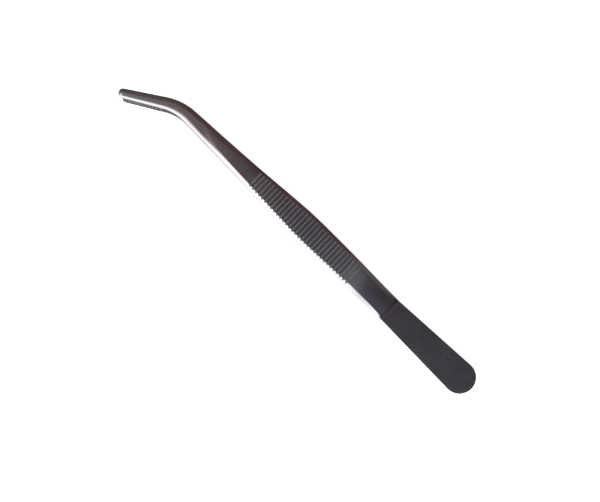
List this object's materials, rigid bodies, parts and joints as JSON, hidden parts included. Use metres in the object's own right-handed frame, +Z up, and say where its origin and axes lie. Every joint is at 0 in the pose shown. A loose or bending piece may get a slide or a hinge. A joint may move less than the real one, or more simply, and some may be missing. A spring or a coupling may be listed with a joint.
{
  "type": "bent-tip tweezers",
  "caption": "Long bent-tip dressing tweezers: sprung steel arms welded at a rounded butt, with cross-ribbed finger grips, bevelled edges and serrated jaws.",
  "frame": {"origin": "centre of the object's footprint box, on the surface that the tweezers lie on; the lower arm's belly and the lower edge of the butt's round end touch that surface", "axes": "+X from the butt to the tips, +Y to the side that the tips are bent towards, +Z up, away from the surface; the plane in which the jaws meet holds the Y axis and rises towards the tips by 2.3 degrees"},
  "size_m": [0.1996, 0.0222, 0.0182],
  "materials": {
    "butt_steel": "satin polished, slightly dark",
    "weld_metal": "ground flush",
    "arm_steel": "satin to mirror polished"
  },
  "bodies": {
    "butt": {"upper_butt_plate": "butt_steel", "lower_butt_plate": "butt_steel", "edge_weld": "weld_metal", "spot_welds": "weld_metal"},
    "upper_arm": {"upper_arm": "arm_steel"},
    "lower_arm": {"lower_arm": "arm_steel"}
  },
  "joints": [
    {"name": "upper_arm_flex", "type": "hinge", "parent": "butt", "child": "upper_arm", "pos_m": [-0.03931, -0.00391, 0.00544], "axis": [0, 1, 0], "range_deg": [0, 2.85], "stiffness_Nm_per_rad": 8},
    {"name": "lower_arm_flex", "type": "hinge", "parent": "butt", "child": "lower_arm", "pos_m": [-0.03923, -0.00391, 0.00344], "axis": [0, -1, 0], "range_deg": [0, 2.85], "stiffness_Nm_per_rad": 8}
  ]
}
